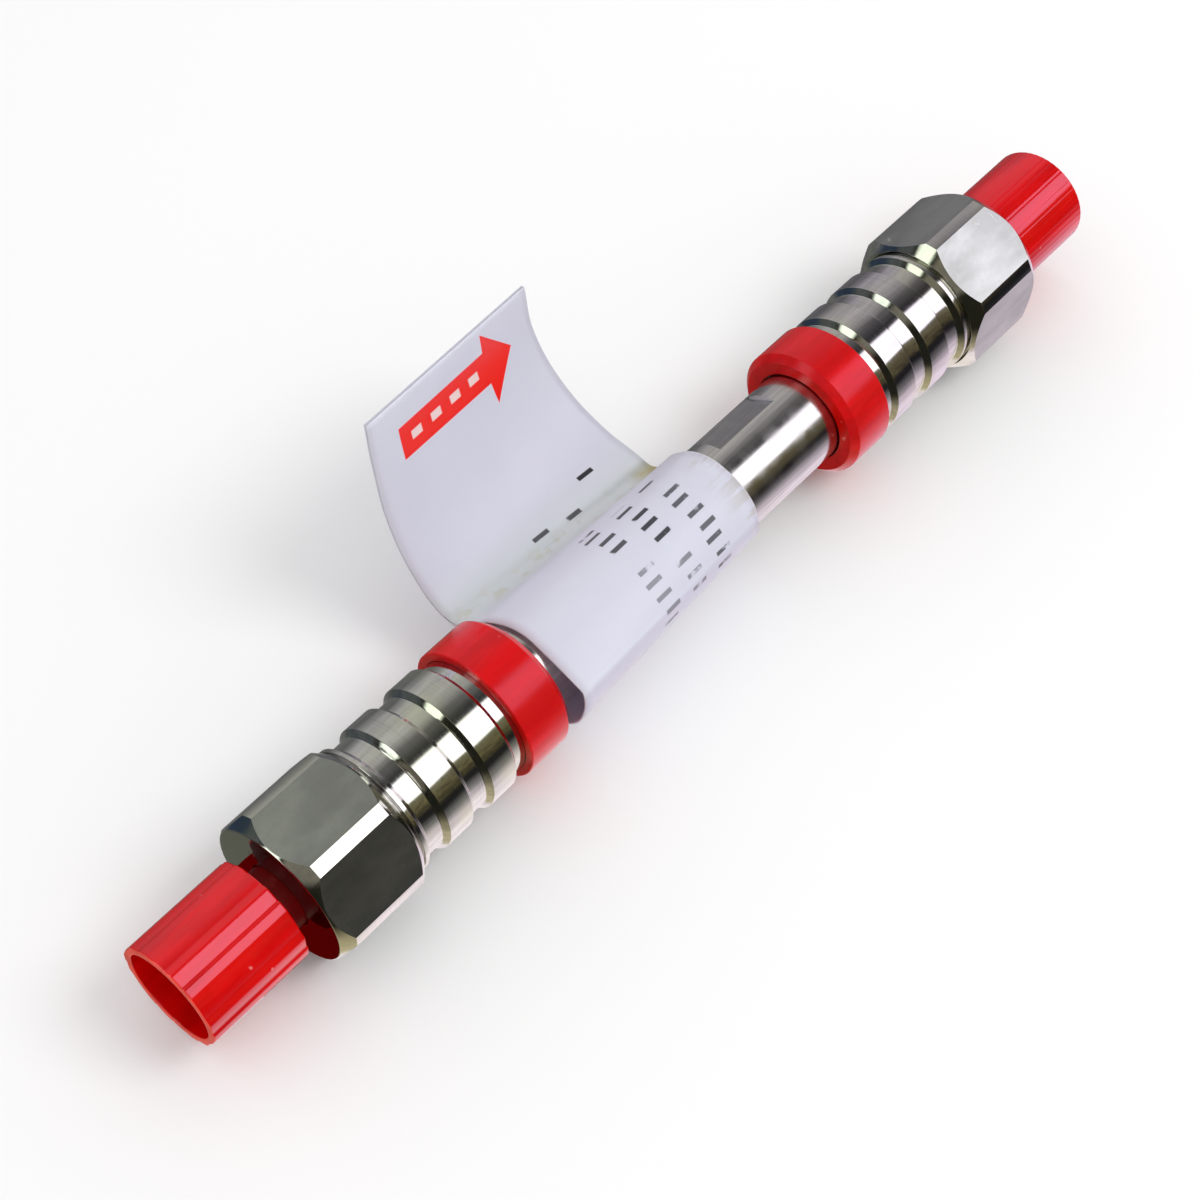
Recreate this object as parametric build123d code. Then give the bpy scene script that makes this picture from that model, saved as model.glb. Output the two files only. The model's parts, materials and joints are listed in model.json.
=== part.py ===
from build123d import *
import os
from math import cos, radians, sin

# A short analytical HPLC column, lying along X. The origin is on the axis, halfway between the
# two end fittings. The inlet is at -X, the outlet at +X, and the liquid flows from one to the other.
# Each fitting is written for the outlet, as distances outward from the middle, and mirrored.

# ---- driving dimensions, in millimetres ----------------------------------------------------------
INCH = 25.4

# the column tube
TUBE_DIAMETER = INCH / 4
TUBE_BORE = 2.1
TUBE_LENGTH = 48.0
TUBE_END_CHAMFER = 0.2
WRENCH_FLAT_DEPTH = 0.3
WRENCH_FLAT_LENGTH = 5.3
WRENCH_FLAT_SETBACK = 2.2
WRENCH_FLAT_ANGLE = 56.0

# frit, seal ring and the passages through the end fitting
FRIT_DIAMETER = 3.2
SEAL_THICKNESS = 1.0
PASSAGE_DIAMETER = 0.5
PASSAGE_LENGTH = 0.7
CAPILLARY_DIAMETER = 1.65
CAPILLARY_DEPTH = 1.1
SEAT_MOUTH_DIAMETER = 3.2
SEAT_LENGTH = 1.05
PORT_DIAMETER = 4.3
PORT_DEPTH = 4.95
PORT_CHAMFER = 0.35

# the end fitting's hexagon and grooved barrel
HEX_ACROSS_FLATS = INCH * 3 / 8
HEX_CORNER_DIAMETER = 10.54
HEX_LENGTH = 6.85
HEX_FACE_DIAMETER = 9.2
HEX_CHAMFER_LENGTH = 0.75
INLET_HEX_ROLL = 0.0
OUTLET_HEX_ROLL = 30.0
BARREL_DIAMETER = 8.84
GROOVE_DEPTH = 0.38
GROOVE_WIDTH = 1.75
GROOVE_PITCH = 3.6
GROOVE_COUNT = 2
WALL_BEVEL = 0.28
COLLAR_WIDTH = 0.55

# the colour ring clipped over the barrel's nose
RING_DIAMETER = 9.22
RING_WIDTH = 3.55
RING_LIP = 0.9
RING_REVEAL = 1.2
RING_BEVEL = 0.45

# the transport plugs
PLUG_HEAD_DIAMETER = 7.02
PLUG_HEAD_LENGTH = 7.1
PLUG_FACETS = 18
PLUG_WALL = 0.5
PLUG_FLOOR = 1.1
PLUG_EDGE = 0.18
PLUG_REACH = 0.3
PLUG_TIP_LENGTH = 0.7
PLUG_TIP_DIAMETER = 1.8
INLET_PLUG_GAP = 1.15
OUTLET_PLUG_GAP = 0.25

# the flag label: a sheet looped round the tube, its two ends stuck together as a curled flap
SHEET = 0.13
LABEL_WIDTH = 17.7
LABEL_SETBACK = 0.7
LABEL_INLET_LEAN = 2.0
LABEL_OUTLET_LEAN = -2.4
LOOP_SIDES = 30
FLAP_CURL_STEPS = 6

# where each edge of the label turns: (direction about the axis, stand-off from the tube, radius)
INLET_CREASE = (158, 1.75, 0.5)
INLET_BULGE = (199, 0.9, 0.8)
INLET_VALLEY = (-3.7, 2.24, 0.2)
OUTLET_CREASE = (163, 0.16, 0.4)
OUTLET_BULGE = (205, 0.14, 0.55)
OUTLET_VALLEY = (-15, 1.85, 0.2)

# the control points of the flap's curl at each edge, (outward, upward) from the valley
INLET_CURL = [(-0.2, 0), (3.9, -0.15), (6.5, 5.35), (6.7, 12.85)]
OUTLET_CURL = [(-0.2, 0), (4.75, -0.9), (10.75, 2.9), (10.75, 9.55)]

# clearances
TUBE_SOCKET_CLEARANCE = 0.02
RING_CLEARANCE = 0.01
RING_TUBE_GAP = 0.15
PLUG_CLEARANCE = 0.05
LABEL_CLEARANCE = 0.1

# ---- places worked out from them -----------------------------------------------------------------
tube_radius = TUBE_DIAMETER / 2
tube_end = TUBE_LENGTH / 2
seal_end = tube_end + SEAL_THICKNESS
passage_end = seal_end + PASSAGE_LENGTH
capillary_end = passage_end + CAPILLARY_DEPTH
seat_end = capillary_end + SEAT_LENGTH
hex_face = seat_end + PORT_DEPTH
hex_back = hex_face - HEX_LENGTH
socket_radius = tube_radius + TUBE_SOCKET_CLEARANCE
barrel_radius = BARREL_DIAMETER / 2
groove_radius = barrel_radius - GROOVE_DEPTH
nose_wall = hex_back - COLLAR_WIDTH - GROOVE_COUNT * GROOVE_PITCH
ring_outer_face = nose_wall - RING_REVEAL
ring_inner_face = ring_outer_face - RING_WIDTH
nose_end = ring_inner_face + RING_LIP
flat_middle = ring_inner_face - WRENCH_FLAT_SETBACK - WRENCH_FLAT_LENGTH / 2
label_start = LABEL_SETBACK - ring_inner_face


def turned(corners):
    """A solid turned about the X axis from the corners (station, radius) of its half section."""
    return revolve(make_face(Polyline(*corners, close=True)), Axis.X)


def disc(start, end, radius):
    """A plain cylinder about the X axis between two stations."""
    return turned([(start, 0), (end, 0), (end, radius), (start, radius)])


def column_tube():
    """The bored steel tube, with a pair of wrench flats milled near the outlet."""
    tube = disc(-tube_end, tube_end, tube_radius)
    tube = chamfer(tube.edges().filter_by(GeomType.CIRCLE), TUBE_END_CHAMFER)
    flat_distance = tube_radius - WRENCH_FLAT_DEPTH
    for side in (0, 180):
        cutter = Box(WRENCH_FLAT_LENGTH, TUBE_DIAMETER, TUBE_DIAMETER)
        cutter = Pos(flat_middle, flat_distance + TUBE_DIAMETER / 2, 0) * cutter
        tube -= Rot(WRENCH_FLAT_ANGLE + side, 0, 0) * cutter
    return tube - disc(-tube_end, tube_end, TUBE_BORE / 2)


def packed_bed():
    """The packing, which fills the tube's bore from frit to frit."""
    return disc(-tube_end, tube_end, TUBE_BORE / 2)


def frit():
    """The porous steel disc pressed into the seal ring."""
    return disc(tube_end, seal_end, FRIT_DIAMETER / 2)


def seal_ring():
    """The polymer ring that carries the frit and seals against the tube's end."""
    return disc(tube_end, seal_end, tube_radius) - disc(tube_end, seal_end, FRIT_DIAMETER / 2)


def hexagon(roll):
    """The wrench hexagon, its corners turned down and both ends chamfered."""
    corner_radius = HEX_CORNER_DIAMETER / 2
    face_radius = HEX_FACE_DIAMETER / 2
    blank = turned([
        (hex_back, 0), (hex_face, 0), (hex_face, face_radius),
        (hex_face - HEX_CHAMFER_LENGTH, corner_radius), (hex_back + HEX_CHAMFER_LENGTH, corner_radius),
        (hex_back, face_radius),
    ])
    section = Plane.YZ * Rot(0, 0, roll) * RegularPolygon(HEX_ACROSS_FLATS / 2, 6, major_radius=False)
    bar = Pos(hex_back, 0, 0) * extrude(section, HEX_LENGTH)
    return blank & bar


def groove(start, width):
    """The cutter for one groove: a flat floor between two sloping walls."""
    end = start + width
    return turned([
        (start, barrel_radius), (start + WALL_BEVEL, groove_radius), (end - WALL_BEVEL, groove_radius),
        (end, barrel_radius),
    ])


def barrel():
    """The turned barrel: lands and filleted grooves, and a stepped-down nose for the colour ring."""
    blank = disc(nose_end, hex_back, barrel_radius)
    for number in range(GROOVE_COUNT):
        outer_wall = hex_back - COLLAR_WIDTH - number * GROOVE_PITCH
        blank -= groove(outer_wall - GROOVE_WIDTH, GROOVE_WIDTH)
    return blank - groove(nose_end - GROOVE_WIDTH, nose_wall - nose_end + GROOVE_WIDTH)


def end_fitting(roll):
    """The hexagon and barrel in one piece, bored for the tube, the frit and the threaded port."""
    socket = disc(nose_end, seal_end, socket_radius)
    port = turned([
        (seal_end, 0), (seal_end, PASSAGE_DIAMETER / 2), (passage_end, PASSAGE_DIAMETER / 2),
        (passage_end, CAPILLARY_DIAMETER / 2), (capillary_end, CAPILLARY_DIAMETER / 2),
        (seat_end, SEAT_MOUTH_DIAMETER / 2), (seat_end, PORT_DIAMETER / 2),
        (hex_face - PORT_CHAMFER, PORT_DIAMETER / 2), (hex_face, PORT_DIAMETER / 2 + PORT_CHAMFER),
        (hex_face, 0),
    ])
    return hexagon(roll) + barrel() - socket - port


def colour_ring():
    """The moulded ring: it clips over the nose and closes down towards the tube with a lip."""
    outer = RING_DIAMETER / 2
    seat = groove_radius + RING_CLEARANCE
    lip = tube_radius + RING_TUBE_GAP
    return turned([
        (ring_inner_face, lip), (ring_inner_face, outer - RING_BEVEL), (ring_inner_face + RING_BEVEL, outer),
        (ring_outer_face, outer), (ring_outer_face, seat), (nose_end, seat), (nose_end, lip),
    ])


def plug(gap):
    """A transport plug: a thin faceted cup to grip, and a pointed stem that screws into the port."""
    base = hex_face + gap
    rim = base + PLUG_HEAD_LENGTH
    section = Plane.YZ * RegularPolygon(PLUG_HEAD_DIAMETER / 2, PLUG_FACETS)
    head = Pos(base, 0, 0) * extrude(section, PLUG_HEAD_LENGTH)
    for edges in (head.edges().group_by(Axis.X)[-1], head.edges().group_by(Axis.X)[0]):
        head = chamfer(edges, PLUG_EDGE)
    head -= disc(base + PLUG_FLOOR, rim, PLUG_HEAD_DIAMETER / 2 - PLUG_WALL)
    stem_radius = PORT_DIAMETER / 2 - PLUG_CLEARANCE
    tip = base - PORT_DEPTH - PLUG_REACH
    stem = turned([
        (tip, 0), (base, 0), (base, stem_radius), (tip + PLUG_TIP_LENGTH, stem_radius),
        (tip, PLUG_TIP_DIAMETER / 2),
    ])
    return head + stem


def pin(direction, stand_off, radius):
    """A round the sheet is pulled over, whose far side stands off the wrapped tube."""
    distance = tube_radius + LABEL_CLEARANCE + stand_off - radius
    return Vector(distance, 0).rotate(Axis.Z, direction), radius


def loop_section(pins, growth):
    """The outline of a stiff sheet pulled round the tube and some pins, grown by some amount: in each
    of LOOP_SIDES directions, the point of those rounds that lies furthest that way."""
    rounds = [(Vector(0, 0), tube_radius + LABEL_CLEARANCE)] + [pin(*place) for place in pins]
    outline = []
    for side in range(LOOP_SIDES):
        way = Vector(1, 0).rotate(Axis.Z, 360 * side / LOOP_SIDES)
        furthest = [centre + way * (radius + growth) for centre, radius in rounds]
        outline.append(max(furthest, key=way.dot))
    return make_face(Polyline(*outline, close=True))


def flap_section(valley, curl):
    """The strip that leaves the loop at its valley, as thick as two sheets."""
    root = pin(*valley)[0]
    middle = Bezier(*[root + Vector(*point) for point in curl])
    upper, lower = [], []
    for share in [step / FLAP_CURL_STEPS for step in range(FLAP_CURL_STEPS + 1)]:
        side = (middle % share).rotate(Axis.Z, 90) * SHEET
        upper.append(middle @ share + side)
        lower.append(middle @ share - side)
    return make_face(Polyline(*upper, *lower[::-1], close=True))


def edge_plane(station, lean):
    """The plane of one edge of the label, square to the tube but for a small lean."""
    return Plane((station, 0, 0), x_dir=(0, 1, 0), z_dir=(cos(radians(lean)), 0, -sin(radians(lean))))


def label():
    """The label: a loop that hugs the tube at its outlet edge and stands off it at its inlet edge,
    and runs out into the curled flap."""
    inlet_pins = [INLET_CREASE, INLET_BULGE, INLET_VALLEY]
    outlet_pins = [OUTLET_CREASE, OUTLET_BULGE, OUTLET_VALLEY]
    inlet = edge_plane(label_start, LABEL_INLET_LEAN)
    outlet = edge_plane(label_start + LABEL_WIDTH, LABEL_OUTLET_LEAN)
    outer = [inlet * loop_section(inlet_pins, SHEET), outlet * loop_section(outlet_pins, SHEET)]
    inner = [inlet * loop_section(inlet_pins, 0), outlet * loop_section(outlet_pins, 0)]
    flap = [inlet * flap_section(INLET_VALLEY, INLET_CURL), outlet * flap_section(OUTLET_VALLEY, OUTLET_CURL)]
    return loft(outer, ruled=True) + loft(flap, ruled=True) - loft(inner, ruled=True)


def at_inlet(solid):
    """The same piece at the other end of the column."""
    return mirror(solid, about=Plane.YZ)


nodes = {
    "column_tube": column_tube(),
    "packed_bed": packed_bed(),
    "inlet_frit": at_inlet(frit()),
    "outlet_frit": frit(),
    "inlet_seal_ring": at_inlet(seal_ring()),
    "outlet_seal_ring": seal_ring(),
    "inlet_end_fitting": at_inlet(end_fitting(INLET_HEX_ROLL)),
    "outlet_end_fitting": end_fitting(OUTLET_HEX_ROLL),
    "inlet_colour_ring": at_inlet(colour_ring()),
    "outlet_colour_ring": colour_ring(),
    "inlet_plug": at_inlet(plug(INLET_PLUG_GAP)),
    "outlet_plug": plug(OUTLET_PLUG_GAP),
    "label": label(),
}

os.makedirs("parts", exist_ok=True)
for name, solid in nodes.items():
    export_step(solid, f"parts/{name}.step")
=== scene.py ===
import json
from math import atan2, cos, degrees, pi, radians, sin, tan

import bmesh
import bpy
from bpy.props import FloatProperty, FloatVectorProperty, PointerProperty
from mathutils import Matrix, Vector


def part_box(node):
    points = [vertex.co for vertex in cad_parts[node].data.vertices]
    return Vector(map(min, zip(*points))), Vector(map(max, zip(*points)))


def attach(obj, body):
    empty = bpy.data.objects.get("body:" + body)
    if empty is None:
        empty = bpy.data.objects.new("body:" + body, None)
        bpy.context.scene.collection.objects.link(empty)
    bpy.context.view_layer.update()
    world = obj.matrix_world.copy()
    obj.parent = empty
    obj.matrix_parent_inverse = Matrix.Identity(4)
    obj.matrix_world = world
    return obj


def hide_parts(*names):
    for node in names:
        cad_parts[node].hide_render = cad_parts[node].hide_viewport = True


bl_info = {
    "name": "Chromatography Column",
    "version": (1, 0, 0),
    "blender": (4, 5, 0),
    "location": "View3D > Sidebar > Column",
    "description": "Turned fittings, moulded plugs and rings, and a flag label for a packed column",
    "category": "Object",
}

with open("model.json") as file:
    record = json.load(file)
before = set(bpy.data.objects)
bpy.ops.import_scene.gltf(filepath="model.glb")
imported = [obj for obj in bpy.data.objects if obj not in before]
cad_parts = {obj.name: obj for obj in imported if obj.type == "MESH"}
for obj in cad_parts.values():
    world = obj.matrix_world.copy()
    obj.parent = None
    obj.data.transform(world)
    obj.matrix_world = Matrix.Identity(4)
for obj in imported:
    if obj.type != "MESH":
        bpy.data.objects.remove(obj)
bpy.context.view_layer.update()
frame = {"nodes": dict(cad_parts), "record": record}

# ---- places read from the frame, in metres; a station is a distance outward from the middle ------
MM = 0.001
INLET = -1
OUTLET = 1
SIDES = {"inlet": INLET, "outlet": OUTLET}


def stations(node):
    """The nearest and farthest stations of a node of the outlet end."""
    low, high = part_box(node)
    return low.x, high.x


def widest(node):
    """Half of a node's width across the column."""
    low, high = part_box(node)
    return (high.y - low.y) / 2


nose_end, hex_face = stations("outlet_end_fitting")
ring_inner_face, ring_outer_face = stations("outlet_colour_ring")
tube_end = stations("column_tube")[1]
seal_end = stations("outlet_seal_ring")[1]
tube_radius = widest("column_tube")
ring_radius = widest("outlet_colour_ring")
hex_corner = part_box("outlet_end_fitting")[1].z
rest_height = -frame["record"]["mounts"][1]["pos_m"][2]

TURN_STEPS = 144


# ---- shader maths ---------------------------------------------------------------------------------
class Wire:
    """A shader socket that can be used in Python sums; each operator adds its Math node."""

    def __init__(self, shader, socket):
        self.shader = shader
        self.socket = socket

    def maths(self, operation, *others):
        return self.shader.node("ShaderNodeMath", {"operation": operation}, dict(enumerate([self, *others])))

    def __add__(self, other):
        return self.maths("ADD", other)

    def __sub__(self, other):
        return self.maths("SUBTRACT", other)

    def __rsub__(self, other):
        return self.maths("MULTIPLY_ADD", -1.0, other)

    def __mul__(self, other):
        return self.maths("MULTIPLY", other)

    def __truediv__(self, other):
        return self.maths("DIVIDE", other)

    def __abs__(self):
        return self.maths("ABSOLUTE")

    __radd__ = __add__
    __rmul__ = __mul__

    def most(self, other):
        return self.maths("MAXIMUM", other)

    def fade(self, start, end, low=0.0, high=1.0):
        """Turns a run from start to end into a smooth one from low to high."""
        settings = {"interpolation_type": "SMOOTHSTEP"}
        return self.shader.node("ShaderNodeMapRange", settings, {0: self, 1: start, 2: end, 3: low, 4: high})


class Shader:
    """The node tree of one finish."""

    def __init__(self, tree):
        self.tree = tree
        tree.nodes.clear()

    def node(self, kind, settings=None, values=None, output=0):
        """Adds a node, sets it up, feeds its sockets and gives one of its outputs."""
        made = self.tree.nodes.new(kind)
        for name, setting in (settings or {}).items():
            if name == "stops":
                self.set_stops(made.color_ramp, setting)
            else:
                setattr(made, name, setting)
        for name, value in (values or {}).items():
            if isinstance(value, Wire):
                self.tree.links.new(value.socket, made.inputs[name])
            else:
                made.inputs[name].default_value = value
        return Wire(self, made.outputs[output]) if made.outputs else made

    @staticmethod
    def set_stops(ramp, stops):
        while len(ramp.elements) < len(stops):
            ramp.elements.new(1.0)
        for element, (position, colour) in zip(ramp.elements, stops):
            element.position = position
            element.color = (*colour, 1.0)

    def place(self):
        """The point on the piece, in metres."""
        return self.node("ShaderNodeTexCoord", output="Object")

    def split(self, vector):
        """The three coordinates of a vector."""
        parts = self.node("ShaderNodeSeparateXYZ", values={0: vector})
        outputs = parts.socket.node.outputs
        return [Wire(self, socket) for socket in outputs]

    def join(self, x, y, z):
        return self.node("ShaderNodeCombineXYZ", values={0: x, 1: y, 2: z})

    def speckle(self, vector, scale, detail=2.0, roughness=0.5):
        """Noise between 0 and 1; a scale of three numbers stretches it along the axes."""
        if isinstance(scale, tuple):
            vector = self.node("ShaderNodeVectorMath", {"operation": "MULTIPLY"}, {0: vector, 1: scale})
            scale = 1.0
        values = {"Vector": vector, "Scale": scale, "Detail": detail, "Roughness": roughness}
        return self.node("ShaderNodeTexNoise", values=values)

    def tint(self, mask, first, second):
        """A colour that goes from first to second where mask goes from 0 to 1."""
        values = {0: mask, 6: first if isinstance(first, Wire) else (*first, 1.0)}
        values[7] = second if isinstance(second, Wire) else (*second, 1.0)
        return self.node("ShaderNodeMix", {"data_type": "RGBA"}, values, output=2)

    def dim(self, mask, colour, by):
        """A colour multiplied by another where mask is 1."""
        settings = {"data_type": "RGBA", "blend_type": "MULTIPLY"}
        return self.node("ShaderNodeMix", settings, {0: mask, 6: colour, 7: (*by, 1.0)}, output=2)

    def attribute(self, name):
        """A number stored on the mesh."""
        return self.node("ShaderNodeAttribute", {"attribute_name": name}, output="Fac")

    def relief(self, height, depth, strength=1.0):
        """A bump of some depth in metres."""
        return self.node("ShaderNodeBump", values={"Height": height, "Distance": depth, "Strength": strength})


def shaded(colour, share):
    """A colour darkened to a share of itself."""
    return tuple(channel * share for channel in colour)


def finish_of(name, build, **constants):
    """A material whose shader takes some constants and what build gives for its varying sockets."""
    material = bpy.data.materials.new(name)
    material.use_nodes = True
    shader = Shader(material.node_tree)
    varying = build(shader)
    surface = shader.node("ShaderNodeBsdfPrincipled", values={**constants, **varying})
    shader.node("ShaderNodeOutputMaterial", values={"Surface": surface})
    return material


def turned_steel(colour):
    """Bright steel from the lathe: rings of tool marks, and faint streaks where light runs along it."""

    def build(shader):
        place = shader.place()
        marks = shader.speckle(place, (14000, 150, 150), 3.0, 0.6)
        streaks = shader.speckle(place, (160, 1500, 1500), 3.0, 0.6)
        stain = shader.speckle(place, 260.0)
        pale = streaks.fade(0.35, 0.65) * 0.75 + marks.fade(0.35, 0.6) * 0.25
        base = shader.tint(pale, shaded(colour, 0.72), colour)
        olive = tuple(channel * share for channel, share in zip(colour, (0.9, 0.92, 0.78)))
        return {
            "Base Color": shader.tint(stain.fade(0.45, 0.7) * 0.7, base, olive),
            "Roughness": marks.fade(0.3, 0.7, 0.05, 0.11),
            "Normal": shader.relief(marks, 0.002 * MM, 0.6),
        }

    return finish_of("turned steel", build, Metallic=1.0)


def hexagon_steel(colour):
    """Drawn hexagon bar: duller flats with a soft mottle, fine scratches and a few pale nicks."""

    def build(shader):
        place = shader.place()
        mottle = shader.speckle(place, (160, 330, 330), 4.0, 0.6)
        fine = shader.speckle(place, 3200.0, 2.0, 0.6)
        scratches = shader.speckle(place, (500, 2600, 2600), 2.0, 0.7)
        nicks = shader.speckle(place, 1500.0, 1.0).fade(0.76, 0.8)
        steel = shader.tint(mottle.fade(0.35, 0.68), shaded(colour, 0.72), colour)
        steel = shader.tint(fine.fade(0.45, 0.7) * 0.3, steel, shaded(colour, 0.8))
        return {
            "Base Color": shader.tint(nicks * 0.5, steel, (0.8, 0.79, 0.74)),
            "Roughness": scratches.fade(0.3, 0.75, 0.29, 0.33) + nicks * 0.2,
            "Normal": shader.relief(fine, 0.0008 * MM, 0.4),
        }

    return finish_of("hexagon steel", build, Metallic=1.0)


def faced_steel(colour):
    """The hexagon's end face, faced off on the lathe to a mirror with a few fine rings and nicks."""

    def build(shader):
        place = shader.place()
        x, y, z = shader.split(place)
        radius = (y * y + z * z).maths("SQRT")
        rings = shader.speckle(shader.join(radius * 9000.0, 0.0, 0.0), 1.0, 3.0)
        nicks = shader.speckle(place, 2600.0, 1.0).fade(0.7, 0.74)
        return {
            "Base Color": shader.tint(rings.fade(0.35, 0.65), shaded(colour, 0.6), shaded(colour, 0.66)),
            "Roughness": rings.fade(0.3, 0.7, 0.03, 0.07) + nicks * 0.2,
            "Normal": shader.relief(rings + nicks * 3.0, 0.0004 * MM, 0.5),
        }

    return finish_of("faced steel", build, Metallic=1.0)


def drawn_steel(colour):
    """The tube: drawn lengthwise, then brushed."""

    def build(shader):
        place = shader.place()
        brushed = shader.speckle(place, (120, 3800, 3800), 3.0, 0.65)
        wear = shader.speckle(place, (900, 500, 500), 3.0)
        return {
            "Base Color": shader.tint(brushed.fade(0.3, 0.7), shaded(colour, 0.8), colour),
            "Roughness": wear.fade(0.35, 0.7, 0.15, 0.26),
            "Normal": shader.relief(brushed, 0.0015 * MM, 0.5),
        }

    return finish_of("drawn steel", build, Metallic=1.0)


def moulded_plastic(name, colour, gloss, grain, light, **surface):
    """Coloured plastic from a mould: faint flow lines, a slight grain and pale specks of rubbed dust."""

    def build(shader):
        place = shader.place()
        flow = shader.speckle(place, (120, 700, 700), 3.0, 0.6)
        skin = shader.speckle(place, 3800.0)
        specks = shader.speckle(place, 1300.0, 1.0).fade(0.75, 0.79)
        base = shader.tint(flow.fade(0.35, 0.62), shaded(colour, 0.8), colour)
        return {
            "Base Color": shader.tint(specks * 0.4, base, light),
            "Roughness": skin.fade(0.3, 0.7, gloss, gloss + 0.04),
            "Normal": shader.relief(skin, grain, 0.4),
        }

    return finish_of(name, build, **surface)


def sintered_steel(colour):
    """Grains of steel sintered into a porous disc."""

    def build(shader):
        grains = shader.node("ShaderNodeTexVoronoi", values={"Vector": shader.place(), "Scale": 12000.0})
        return {
            "Base Color": shader.tint(grains.fade(0.1, 0.6), colour, shaded(colour, 0.35)),
            "Normal": shader.relief(grains, -0.02 * MM, 0.8),
        }

    return finish_of("sintered steel", build, Metallic=1.0, Roughness=0.45)


def packed_powder(colour):
    """Fine white packing."""

    def build(shader):
        grain = shader.speckle(shader.place(), 9000.0, 4.0, 0.7)
        return {
            "Base Color": shader.tint(grain.fade(0.3, 0.7), shaded(colour, 0.85), colour),
            "Normal": shader.relief(grain, 0.02 * MM, 0.6),
        }

    return finish_of("packed powder", build, Roughness=0.9)


def seal_polymer(colour):
    """Natural tan sealing polymer, faintly mottled."""

    def build(shader):
        cloud = shader.speckle(shader.place(), 900.0, 3.0)
        return {
            "Base Color": shader.tint(cloud.fade(0.3, 0.7), shaded(colour, 0.8), colour),
            "Normal": shader.relief(cloud, 0.01 * MM, 0.3),
        }

    return finish_of("seal polymer", build, Roughness=0.45)


# The label's print, in millimetres. Across is from the sheet's inlet edge, and past is from the valley.
ARROW_TAIL, ARROW_NECK, ARROW_TIP = 2.75, 12.2, 15.1
SHAFT_HALF = 1.22
BARB_SLOPE = 0.93
DASHES_START, DASHES_END, DASH_PITCH = 3.6, 11.8, 2.1
DASH_HALF = 0.32
PRINT_SOFTNESS = 0.04
BAR_PITCH = 1.02
# Each row of bars: (across, stretches of (first past, last past, darkness))
BAR_ROWS = [
    (8.6, [(-1.3, -0.2, 0.9), (3.5, 7.5, 0.9), (9.0, 13.7, 0.6)]),
    (11.3, [(-1.1, 0.1, 0.9), (4.4, 8.6, 0.95), (9.9, 12.9, 0.65)]),
    (14.0, [(-2.9, -1.8, 1.0), (3.9, 5.0, 0.9), (6.0, 13.0, 0.85)]),
]


def label_paper(look):
    """Coated white stock with an arrow and rows of plain dark bars, creased, scuffed and glue-marked."""

    def build(shader):
        run = shader.attribute("run") * (1 / MM)
        across = shader.attribute("across") * (1 / MM)
        past = run - shader.attribute("valley") * (1 / MM)
        place = shader.place()
        fibres = shader.speckle(place, 2600.0, 3.0, 0.6)
        cloud = shader.speckle(place, 130.0)
        wander = shader.speckle(place, 900.0, 3.0)
        creases = shader.speckle(place, (240, 1300, 1300), 4.0, 0.65)

        def within(value, half, soft=PRINT_SOFTNESS):
            return value.fade(half - soft, half + soft, 1.0, 0.0)

        def between(value, low, high, soft=PRINT_SOFTNESS):
            return value.fade(low - soft, low + soft) * within(value, high, soft)

        # the arrow: a shaft and a triangle, with pale dashes along the shaft
        side = abs(run - look.arrow_run / MM)
        shaft = between(across, ARROW_TAIL, ARROW_NECK) * within(side, SHAFT_HALF)
        barb = within(side - (ARROW_TIP - across) * BARB_SLOPE, 0.0)
        barb = barb * across.fade(ARROW_NECK - 0.1, ARROW_NECK - 0.06)
        dash = between(((across - DASHES_START) / DASH_PITCH).maths("FRACT"), 0.12, 0.62, 0.03)
        dashes = dash * between(across, DASHES_START, DASHES_END) * within(side, DASH_HALF)

        # the rows of bars, which run round the tube; each bar is shifted a little, and gaps break the rows
        bars = None
        for row, stretches in BAR_ROWS:
            cell = past / BAR_PITCH + row
            shift = (cell.maths("FLOOR") * 2.3).maths("SINE") * 0.14
            width = abs(cell.maths("FRACT") - 0.5 - shift * 0.5).fade(0.19, 0.13)
            bar = width * abs(across - row - shift).fade(0.7, 0.62)
            shown = 0.0
            for first, last, darkness in stretches:
                shown = between(past, first, last) * darkness + shown
            bar = bar * shown
            bars = bar if bars is None else bars.most(bar)
        rubbed = abs(past).fade(0.15, 0.6) * wander.fade(0.3, 0.45)

        # painted shade beside the valley crease, glue along the valley and at the outlet edge, and dirt in
        # the torn corner
        valley_shade = abs(past).fade(0.0, 3.4, 1.0, 0.0)
        outlet = across.fade(15.2, 17.6)
        glue = abs(past - 0.2).fade(0.0, 1.4, 1.0, 0.0) * (outlet * 0.9 + wander.fade(0.5, 0.62) * 0.3)
        torn = outlet * between(past, 6.0, 12.6, 0.6) * creases.fade(0.45, 0.58)

        base = shader.tint(cloud.fade(0.35, 0.7), look.paper, shaded(look.paper, 0.97))
        # painted shade: the lower facet past the crease turns away from the light and is given a darker
        # lavender grey
        base = shader.tint(past.fade(11.9, 12.3) * 0.7, base, (0.54, 0.51, 0.62))
        # painted shade: the stock beside the valley crease darkens to the valley colour
        base = shader.tint(valley_shade * 0.8, base, look.valley)
        base = shader.tint(glue, base, (0.42, 0.36, 0.16))
        base = shader.tint(torn * 0.5, base, (0.45, 0.42, 0.36))
        base = shader.tint(shaft.most(barb), base, look.arrow)
        base = shader.tint(dashes, base, (0.9, 0.62, 0.6))
        base = shader.tint(bars * rubbed, base, (0.035, 0.033, 0.04))
        rise = fibres * 0.25 + creases * (outlet * past.fade(1.0, 3.0) * 7.0 + 0.3)
        return {
            "Base Color": base,
            "Roughness": fibres.fade(0.3, 0.7, 0.32, 0.42),
            "Normal": shader.relief(rise, 0.03 * MM, 0.5),
        }

    thin = {"Subsurface Weight": 0.7, "Subsurface Radius": (1.0, 0.92, 0.88), "Subsurface Scale": 0.35 * MM}
    return finish_of("label stock", build, IOR=1.33, **thin)


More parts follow.
